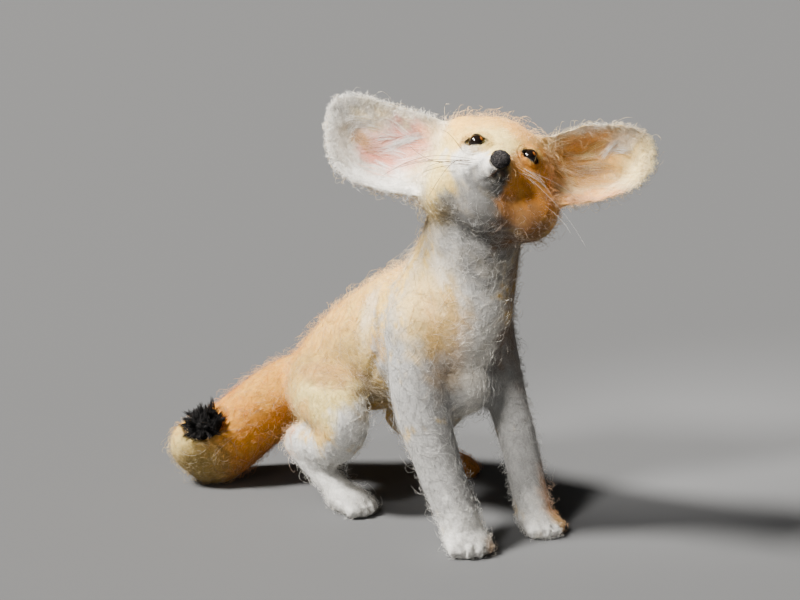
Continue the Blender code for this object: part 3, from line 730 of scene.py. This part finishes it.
# Stray fibres. Loose ends and loops of single fibres stand out all over the felt as a thin halo,
# curled and crossing, most about a millimetre long, and combed outwards at the ears' edges.
def stray_fibres(name, count, seed, rings, length, rise, radius, density=None, outward=False):
    """Arcs that leave the skin and bend over: way s, rise sin(a s) and a sideways wave.

    The way is random, or leads outwards from the middle of an ear where outward is true.
    """
    draw = np.random.default_rng(seed)
    place, normal, unwrap = sown(count, seed, density)
    turn = draw.uniform(0, 2 * math.pi, count)[:, None]
    way = turned(lie(place, normal, 0.0), normal, turn)
    if outward:
        way = way * 0.35 + from_ears(layout(place))
        way = unit(way - (way * normal).sum(1)[:, None] * normal)
    side = np.cross(normal, way)
    small = 1 - 0.4 * fine(layout(place))
    reach, out = draw.uniform(*length, count) * small, draw.uniform(*rise, count) * small
    s = np.linspace(0, 1, rings)
    arc = np.sin(s * draw.uniform(1.6, 3.1, (count, 1)))
    wave = np.sin(s * draw.uniform(2, 9, (count, 1)) + turn) - np.sin(turn)
    paths = place[:, None] + way[:, None] * (reach[:, None] * s)[..., None]
    paths = paths + normal[:, None] * (out[:, None] * arc - 0.05e-3)[..., None]
    paths = paths + side[:, None] * (0.3 * reach[:, None] * wave)[..., None]
    colours = wool_colour(layout(place), normal) * draw.uniform(0.85, 1.2, (count, 1))
    colours += (np.array(WHITE) * 1.1 - colours) * 0.22
    made = spun(name, paths, draw.uniform(*radius, count), colours, fibre, unwrap)


def shaggy(points, normals):
    """More of the long loops on the crown, the jaw, the back, the belly and the chest."""
    crown = np.exp(-((lengths(to_head(points) - (-1, 0, 9)) / 13) ** 4))
    jaw = np.exp(-((lengths(to_head(points) - (-2, -13, -8)) / 7) ** 4))
    ridge = ramp(normals[:, 2], 0.2, 0.8) * (points[:, 0] < 2) * (points[:, 2] > 22)
    under = ramp(-normals[:, 2], 0.1, 0.7) * (points[:, 2] > 20)
    chest = np.exp(-((lengths(points - (18, -3, 38)) / 9) ** 4))
    return 0.35 + 2.2 * crown + 2.5 * jaw + 1.2 * ridge + 1.2 * under + 1.5 * chest


def ear_rims(points, normals):
    """1 where the wool of an ear's rim faces outwards, along the ear's own plane."""
    return (np.abs(to_head(points)[:, 1]) > 11) * ramp(-np.abs(normals @ HEAD[:, 0]), -0.85, -0.5)


def ear_edges(points, normals):
    """1 on the band of an ear's front next to its rim."""
    amount = np.zeros(len(points))
    for side in EARS:
        along, across, front = ear_place(points, normals, side)
        amount += front * ramp(oval(along, across, (0.45, 0.0), (0.52, 0.98)), 0.8, 0.95) * (along > 0.2)
    return amount


def from_ears(points):
    """Ways that lead outwards from the middle line of the nearer ear, in the ear's own plane."""
    ways = np.zeros((len(points), 3))
    head = to_head(points)
    for root, tip, _ in EARS.values():
        on_side = np.sign(head[:, 1]) == np.sign(tip[1])
        along = np.clip((head - root) @ (tip - root) / ((tip - root) @ (tip - root)), 0.3, 0.7)
        middle = root + (tip - root) * along[:, None]
        out = (head - middle) * (0.3, 1, 1)
        ways += unit(out) @ HEAD.T * on_side[:, None]
    return ways


def footed(points, normals):
    """More stray fibres on the feet."""
    return 1 + 2.6 * ramp(-points[:, 2], -10.0, -5.0) * (points[:, 0] > -34)


# Points along a fibre, how far it reaches along the felt and rises over it, its radius
FUZZ = dict(rings=5, length=(0.5e-3, 2.0e-3), rise=(0.3e-3, 1.1e-3), radius=(0.015e-3, 0.026e-3))
EDGES = dict(rings=5, length=(0.7e-3, 1.7e-3), rise=(0.15e-3, 0.7e-3), radius=(0.02e-3, 0.034e-3))
FRINGE = dict(rings=5, length=(0.6e-3, 1.8e-3), rise=(0.5e-3, 1.4e-3), radius=(0.022e-3, 0.036e-3))
LOOPS = dict(rings=11, length=(1.2e-3, 4.5e-3), rise=(0.8e-3, 2.4e-3), radius=(0.014e-3, 0.023e-3))
for k in range(4):
    stray_fibres(f"fuzz_{k}", 4100, 300 + k, density=footed, **FUZZ)
stray_fibres("ear_fringe", 3400, 310, density=ear_rims, **FRINGE)
stray_fibres("ear_edges", 4200, 311, density=ear_edges, outward=True, **EDGES)
stray_fibres("loops", 2900, 320, density=shaggy, **LOOPS)


# Eyes. Each is a polished glass bead 3 mm across, sunk a little over half its depth into the felt.
# The glass is nearly black, with an amber glint painted on its side away from the lamp.
BEAD_RADIUS = 1.5e-3


def glass_material():
    """Polished dark glass in the colours laid on the bead."""
    made, nodes, links, shader = new_material("bead_glass")
    set_inputs(shader, Roughness=0.05, Specular_IOR_Level=0.35)
    caught = nodes.new("ShaderNodeAttribute")
    caught.attribute_name = "wool"
    links.new(caught.outputs["Color"], shader.inputs["Base Color"])
    return made


def globe(middle, radii, turn, rings=24, slices=40):
    """Points and triangles of a closed ellipsoid: rings of latitude between two poles."""
    lat = np.linspace(0, math.pi, rings)[1:-1, None]
    lon = np.linspace(0, 2 * math.pi, slices, endpoint=False)
    ball = np.stack([np.sin(lat) * np.cos(lon), np.sin(lat) * np.sin(lon), np.cos(lat) + 0 * lon], axis=-1)
    ball = np.vstack([ball.reshape(-1, 3), [[0, 0, 1], [0, 0, -1]]])
    row, col = np.arange(rings - 3)[:, None] * slices, np.arange(slices)
    a, b = (row + col).ravel(), (row + (col + 1) % slices).ravel()
    top, low, last = len(ball) - 2, len(ball) - 1, (rings - 3) * slices
    faces = [np.c_[a, a + slices, b + slices], np.c_[a, b + slices, b]]
    faces.append(np.c_[np.full(slices, top), col, (col + 1) % slices])
    faces.append(np.c_[np.full(slices, low), last + (col + 1) % slices, last + col])
    return (ball * radii) @ np.asarray(turn).T + middle, np.vstack(faces)


glass = glass_material()
for side, middle in BEADS.items():
    bead = as_piece(f"bead_{side}", *globe(middle, np.full(3, BEAD_RADIUS), HEAD))
    way = (arrays(bead.data)[0] - middle) / BEAD_RADIUS @ HEAD
    # Painted glint: amber on the bead's side away from the lamp
    amber_glint = ramp(way @ (0.62, 0.56, 0.55), 0.93, 1.0)[:, None]
    paint(bead, np.array((0.006, 0.004, 0.003)) * (1 - amber_glint) + np.array((0.5, 0.15, 0.02)) * amber_glint)
    bead.data.materials.append(glass)
    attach(bead, "root")
    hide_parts(f"eye_{side}")


# Lids. A thin sleeve of wool is needled on round each bead, from a black edge with a point at both
# corners, close on the glass, out to the face, and short fibres lie over it. Each has a way along
# its slit, a way out of the face, and its slit's half width and half height in millimetres.
SLEEVES = {
    "right": ((0.392, 0.89, 0.231), (0.836, -0.45, 0.315), 2.15, 1.22),
    "left": ((-0.45, 0.865, -0.222), (0.827, 0.497, 0.263), 1.95, 1.14),
}
for side, (level, out, wide, high) in SLEEVES.items():
    middle, level, out = BEADS[side], HEAD @ level, HEAD @ out
    upward = np.cross(out, level)
    rings, loop, steps = 64, 16, np.linspace(0, 1, 9)
    turn = np.linspace(0, 2 * math.pi, rings, endpoint=False)
    inner = np.stack([wide * np.cos(turn), high * np.sin(turn) * np.abs(np.sin(turn)) ** 0.3], axis=1) * 1e-3
    outer = np.stack([(wide + 1.1) * np.cos(turn), (high + 1.2) * np.sin(turn)], axis=1) * 1e-3
    edge = middle + level * outer[:, :1] + upward * outer[:, 1:]
    edge_height = (on_skin(edge + out * 1.2e-3)[0] - middle) @ out - 0.35e-3
    glass_height = np.sqrt(np.maximum(BEAD_RADIUS**2 - (inner**2).sum(1), 0.0))
    inner_height = np.maximum(glass_height + 0.1e-3, 0.35e-3)

    def sleeve(t, q, lift=0.0):
        """Places on a lid: q runs from its edge on the glass, 0, to the face, 1, and t round it."""
        plan = []
        for axis in (0, 1):
            near = np.interp(t, turn, inner[:, axis], period=2 * math.pi)
            far = np.interp(t, turn, outer[:, axis], period=2 * math.pi)
            plan.append(near + (far - near) * q)
        near = np.interp(t, turn, inner_height, period=2 * math.pi)
        far = np.interp(t, turn, edge_height, period=2 * math.pi) + lift
        bulge = 0.05e-3 * np.sin(math.pi * np.sqrt(np.minimum(q, 1)))
        rise = near + (far - near) * np.minimum(q, 1) ** 1.7 + bulge
        flat = middle + level * plan[0][..., None] + upward * plan[1][..., None]
        return flat + out * rise[..., None], plan

    def lid_colour(points, plan):
        """Black within an almond that reaches past the bead's corners, wool outside."""
        x, y = np.abs(plan[0]) / ((wide + 0.35) * 1e-3), np.abs(plan[1]) / ((high + 0.28) * 1e-3)
        amount = ramp(x**1.5 + y**1.5, 0.85, 1.25)[:, None]
        wool = wool_colour(layout(points), np.tile(out, (len(points), 1)))
        return np.array(SOOT) * (1 - amount) + wool * amount

    top, plan = sleeve(turn[:, None], steps)
    under = top[:, 7:0:-1] - out * (0.1e-3 + 0.4e-3 * np.sin(math.pi * steps[7:0:-1]))[:, None]
    points = np.concatenate([top, under], axis=1).reshape(-1, 3)
    plan = [np.concatenate([p, p[:, 7:0:-1]], axis=1).ravel() for p in plan]
    row, column = np.arange(rings)[:, None] * loop, np.arange(loop)
    after, beside = (row + loop) % (rings * loop), (column + 1) % loop
    square = ((row, column), (row, beside), (after, beside), (after, column))
    a, b, c, d = [(r + q).ravel() for r, q in square]
    lid = as_piece(f"lid_{side}", points, np.vstack([np.c_[a, b, c], np.c_[a, c, d]]))
    paint(lid, lid_colour(points, plan))
    lid.data.materials.append(felt)
    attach(lid, "root")

    draw = np.random.default_rng(410)
    count, s = 700, np.linspace(0, 1, 5)
    t0, q0 = draw.uniform(0, 2 * math.pi, (count, 1)), draw.uniform(0.05, 1.2, (count, 1))
    t = t0 + draw.normal(0, 0.3, (count, 1)) * s
    q = q0 + draw.uniform(0.05, 0.5, (count, 1)) * s
    paths, plan = sleeve(t, q, lift=0.42e-3)
    rise = 0.1e-3 * np.sin(math.pi * s) * draw.uniform(0.2, 1.6, (count, 1)) - 0.02e-3
    paths = paths + out * rise[..., None]
    colours = lid_colour(paths[:, 2], [p[:, 2] for p in plan]) * draw.uniform(0.88, 1.12, (count, 1))
    thick = draw.uniform(0.016e-3, 0.03e-3, count)
    short = spun(f"lid_fibres_{side}", paths, thick, colours, fibre)


# Nose. A small pad of black wool is felted hard and round, and needled on at the tip of the
# muzzle. Short black fibres lie round it, most of them on its front.
PAD = np.array((1.62e-3, 1.82e-3, 1.7e-3))
nose = as_piece("nose_pad", *globe(NOSE, PAD, HEAD))
nose.data.materials.append(black_felt)
paint(nose, np.tile(SOOT, (len(nose.data.vertices), 1)))
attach(nose, "root")
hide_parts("nose")
draw = np.random.default_rng(430)
count, s = 420, np.linspace(0, 1, 5)
ways = draw.normal(size=(count, 3))
ways[:, 0] = np.abs(ways[:, 0]) * 1.2 - 0.2
bend = np.cross(ways, draw.normal(size=(count, 3)))
bend /= lengths(bend)[:, None]
ways /= lengths(ways)[:, None]
paths = ways[:, None] + bend[:, None] * (s - 0.5)[:, None] * 0.9
paths /= lengths(paths)[..., None]
paths *= (1.0 + draw.uniform(0, 0.16, (count, 1)) * np.sin(math.pi * s) - 0.01)[..., None]
paths = NOSE + (paths * PAD) @ HEAD.T
thick = draw.uniform(0.03e-3, 0.05e-3, count)
tints = np.tile(SOOT, (count, 1)) * draw.uniform(0.6, 9.0, (count, 1))
hairs = spun("nose_fibres", paths, thick, tints, black_fibre)


# Mouth. Short dark brown fibres are needled in along two lines from under the nose, down and out
# to both corners, more of them on the left.
def drawn(name, paths, radius, colour, material):
    """Fibres along given paths, each resampled evenly to the same number of rings."""
    count, rings = len(paths), 16
    s = np.linspace(0, 1, rings)
    even = np.empty((count, rings, 3))
    for k, path in enumerate(paths):
        path = np.asarray(path, float)
        run = np.r_[0, np.cumsum(lengths(np.diff(path, axis=0)))]
        for axis in range(3):
            even[k, :, axis] = np.interp(s, run / run[-1], path[:, axis])
    even[:, 1:-1] = (even[:, :-2] + 2 * even[:, 1:-1] + even[:, 2:]) / 4
    colours = np.tile(colour, (count, 1))
    made = spun(name, even, np.full(count, radius), colours, material)


# Number of fibres on each side, and the line that they follow in the head's axes
MOUTHS = (
    (44, ((16.0, 0.3, -3.0), (14.9, 1.0, -3.7), (13.4, 2.0, -4.2), (12.0, 3.2, -4.5))),
    (16, ((16.0, 0.1, -3.0), (14.9, -0.3, -4.2), (13.6, -1.2, -4.8), (12.4, -2.2, -5.2))),
)
draw = np.random.default_rng(450)
mouth = []
for count, middle in MOUTHS:
    middle = np.array(middle)
    for _ in range(count):
        first = draw.uniform(0, 2.2)
        run = np.linspace(first, min(first + draw.uniform(0.5, 1.0), 3.0), 6)
        line = np.stack([np.interp(run, np.arange(4), middle[:, axis]) for axis in range(3)], axis=1)
        line = line + draw.normal(0, 0.18, 3) + draw.normal(0, 0.05, (6, 3))
        line, out = on_skin(placed(from_head(line)))
        mouth.append(line + out * 0.05e-3)
drawn("mouth", mouth, 0.035e-3, (0.07, 0.045, 0.03), black_fibre)


# Whiskers. Single stiff hairs are drawn through the muzzle: dark ones on the right that sweep back
# past the cheek, paler ones on the left that hang below the ear. Each is a root, a tip and a bow.
WHISKER_WOOL = {"right": ((0.07, 0.04, 0.02), 0.06e-3), "left": ((0.92, 0.88, 0.8), 0.028e-3)}
WHISKERS = {
    "right": (
        ((13, -3.5, -1.7), (2, -21.9, -7.8), 2.6),
        ((12.5, -3.9, -2.3), (4, -18.6, 0.1), -2.0),
        ((12.5, -3.7, -2.0), (4, -18.6, -4.8), 0.8),
        ((12.2, -4.2, -2.6), (6, -14.0, -5.7), 0.7),
        ((12.4, -3.8, -2.4), (6, -13.6, -4.5), 1.0),
        ((12.0, -4.0, -2.9), (3, -20.0, -6.0), 1.4),
        ((11.5, -4.8, -2.0), (6, -11.7, -10.8), 4.0),
        ((9.0, -7.4, 0.2), (8, -12.7, 3.5), 0.6),
        ((12.0, -4.4, -1.6), (5, -16.5, -2.6), -0.8),
    ),
    "left": (
        ((12, 4.0, -1.1), (9.5, 10.6, -3.0), 0.3),
        ((11.5, 5.1, -1.8), (10, 9.1, -2.3), 0.2),
        ((11.3, 5.7, -1.0), (9.5, 10.2, -2.1), 0.3),
        ((12, 4.0, -1.8), (10.3, 8.5, -3.3), 0.2),
        ((11.5, 5.2, -0.7), (8.5, 12.2, -3.9), 0.5),
        ((11.4, 5.0, -1.3), (4, 22.5, -12.1), 1.2),
        ((11.3, 5.4, -0.8), (4, 19.7, -3.1), 0.8),
        ((8.0, 11.5, -6.2), (6, 18.3, -10.2), 0.5),
    ),
}
for side, (tint, radius) in WHISKER_WOOL.items():
    s, hair = np.linspace(0, 1, 16)[:, None], []
    for root, tip, bow in WHISKERS[side]:
        path = np.array(root) + (np.array(tip) - root) * s
        path = path + np.array((0.25, 0, 1)) * bow * np.sin(math.pi * s) * (0.6 + 0.8 * s)
        hair.append(placed(from_head(path)))
    drawn(f"whiskers_{side}", hair, radius, tint, fibre)


# Ear wisps. Long silky fibres are laid over both cups in loose locks that cross each other: colour,
# number of fibres, and three places along and across the ear that a lock runs through.
BLUSH = (0.92, 0.56, 0.44)
LOOSE_LOCKS, LOOSE_FIBRES = 18, 11
WISPS = {
    "right": (
        (WHITE, 44, ((0.56, -0.02), (0.44, 0.24), (0.29, 0.46))),
        (WHITE, 34, ((0.5, 0.08), (0.41, 0.27), (0.31, 0.38))),
        (WHITE, 16, ((0.89, 0.12), (0.84, 0.36), (0.66, 0.5))),
        (WHITE, 16, ((0.83, 0.1), (0.77, 0.32), (0.6, 0.42))),
        (WHITE, 14, ((0.79, 0.18), (0.72, 0.34), (0.5, 0.33))),
        (WHITE, 12, ((0.66, 0.14), (0.55, 0.3), (0.42, 0.36))),
        # Painted shade: the next two locks, brown and tan, lay a dark streak along the inner side of the rim
        (UMBER, 12, ((0.82, 0.16), (0.77, 0.1), (0.7, 0.0))),
        (TAN, 16, ((0.74, 0.05), (0.66, -0.05), (0.56, -0.02))),
    ),
    "left": (
        (WHITE, 34, ((0.62, 0.14), (0.68, 0.3), (0.76, 0.46))),
        (WHITE, 30, ((0.64, 0.52), (0.74, 0.6), (0.84, 0.66))),
        (WHITE, 34, ((0.71, 0.28), (0.77, 0.2), (0.84, 0.14))),
        (IVORY, 24, ((0.46, 0.26), (0.6, 0.42), (0.74, 0.6))),
        (IVORY, 24, ((0.3, 0.3), (0.46, 0.2), (0.62, 0.3))),
        (UMBER, 14, ((0.36, 0.1), (0.5, -0.1), (0.66, -0.16))),
        (OLIVE, 20, ((0.4, -0.14), (0.52, 0.0), (0.66, -0.04))),
    ),
}
for side, tints in (("right", (BLUSH, WHITE, BLUSH)), ("left", (PEACH, TAN, CREAM))):
    root, _, half_width = EARS[side]
    length, axis, forward, upward = ear_axes(side)
    draw = np.random.default_rng(460)
    locks = list(WISPS[side])
    for k in range(LOOSE_LOCKS):
        first = np.array((draw.uniform(0.12, 0.62), draw.uniform(-0.45, 0.45)))
        last = first + draw.uniform(0.1, 0.26) * np.array((1, draw.normal(-0.8, 1.1)))
        middle = (first + last) / 2 + draw.normal(0, 0.03, 2)
        locks.append((tints[k % 3], LOOSE_FIBRES, (first, middle, last)))
    steps = np.linspace(0, 1, 10)
    strand = np.repeat(np.arange(len(locks)), [lock[1] for lock in locks])
    knots = np.array([lock[2] for lock in locks], float)[strand]
    s = draw.uniform(-0.15, 0.3, (len(strand), 1))
    s = (s + (draw.uniform(0.75, 1.15, (len(strand), 1)) - s) * steps)[..., None]
    plan = knots[:, :1] * (1 - s) * (1 - 2 * s) + knots[:, 1:2] * 4 * s * (1 - s)
    plan = plan + knots[:, 2:] * s * (2 * s - 1)
    loose = draw.normal(0, 1, (len(strand), 2, 2)) * (0.014, 0.038)
    plan = plan + loose[:, :1] + loose[:, 1:] * 1.4 * (s - 0.5)
    along, rise = np.clip(plan[..., 0], 0.05, 0.93), np.clip(plan[..., 1], -0.78, 0.78)
    hollow = 4.6 * np.sin(math.pi * along) ** 1.3 * (1 - rise**2)
    flat = root + axis * (along * length)[..., None] + upward * (rise * half_width)[..., None]
    flat = flat - forward * hollow[..., None]
    surface, normals = on_skin(placed(from_head(flat.reshape(-1, 3))).reshape(flat.shape))
    keep = (normals @ (HEAD @ forward) > 0).all(axis=1)
    lift = draw.uniform(0.2e-3, 0.85e-3, (len(strand), 1)) * np.sin(math.pi * steps) ** 0.7
    paths = (surface + (HEAD @ forward) * lift[..., None])[keep]
    colours = np.array([lock[0] for lock in locks])[strand] * draw.uniform(1.0, 1.25, (len(strand), 1))
    thick = draw.uniform(0.016e-3, 0.028e-3, len(strand))
    wisps = spun(f"wisps_{side}", paths, thick[keep], colours[keep], silk)


# Tuft. Black wool is needled on round the tail's end in a flat seat, and the rest of it is left
# loose and teased up into short spiky locks that spread from the seat's middle.
draw = np.random.default_rng(400)
TUFT_AT, TUFT_RADIUS = placed((-49.8, -26.6, 14.0)), 3.1e-3
TUFT_WAY = np.array((0.2, -0.5, 0.85)) / np.linalg.norm((0.2, -0.5, 0.85))
side = np.cross(TUFT_WAY, (1.0, 0, 0))
side /= np.linalg.norm(side)
tilt = np.stack([side, np.cross(TUFT_WAY, side), TUFT_WAY], axis=1)
seat = as_piece("tuft_seat", *globe(TUFT_AT, np.array((4.2e-3, 4.2e-3, 1.5e-3)), tilt))
seat.data.materials.append(black_felt)
paint(seat, np.tile(SOOT, (len(seat.data.vertices), 1)))
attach(seat, "root")
clumps, per, rings = 90, 24, 7
out = TUFT_RADIUS * np.sqrt((np.arange(clumps) + 0.5) / clumps)
turn = np.arange(clumps) * math.pi * (3 - math.sqrt(5))
ray = np.cos(turn)[:, None] * tilt[:, 0] + np.sin(turn)[:, None] * tilt[:, 1]
lean = out[:, None] / TUFT_RADIUS * 1.05
ways = np.cos(lean) * TUFT_WAY + np.sin(lean) * ray + draw.normal(0, 0.16, (clumps, 3))
ways = np.repeat(ways, per, axis=0)
roots = np.repeat(TUFT_AT + ray * out[:, None] + TUFT_WAY * 0.5e-3, per, axis=0)
reach = np.repeat(draw.uniform(2.0e-3, 3.8e-3, clumps), per) * draw.uniform(0.7, 1.05, clumps * per)
s = np.linspace(0, 1, rings)
spread = draw.normal(0, 0.5e-3, (clumps * per, 3))
bend = np.repeat(draw.normal(0, 0.35, (clumps, 3)), per, axis=0)
paths = roots[:, None] + ways[:, None] * (reach[:, None] * s)[..., None]
paths = paths + spread[:, None] * (1 - 0.55 * s)[:, None]
paths = paths + bend[:, None] * (reach[:, None] * s * s)[..., None]
thick = draw.uniform(0.04e-3, 0.08e-3, clumps * per)
tints = np.tile(SOOT, (clumps * per, 1)) * draw.uniform(0.6, 3.0, (clumps * per, 1))
tuft = spun("tuft_locks", paths, thick, tints, black_fibre)
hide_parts("tail_tuft")
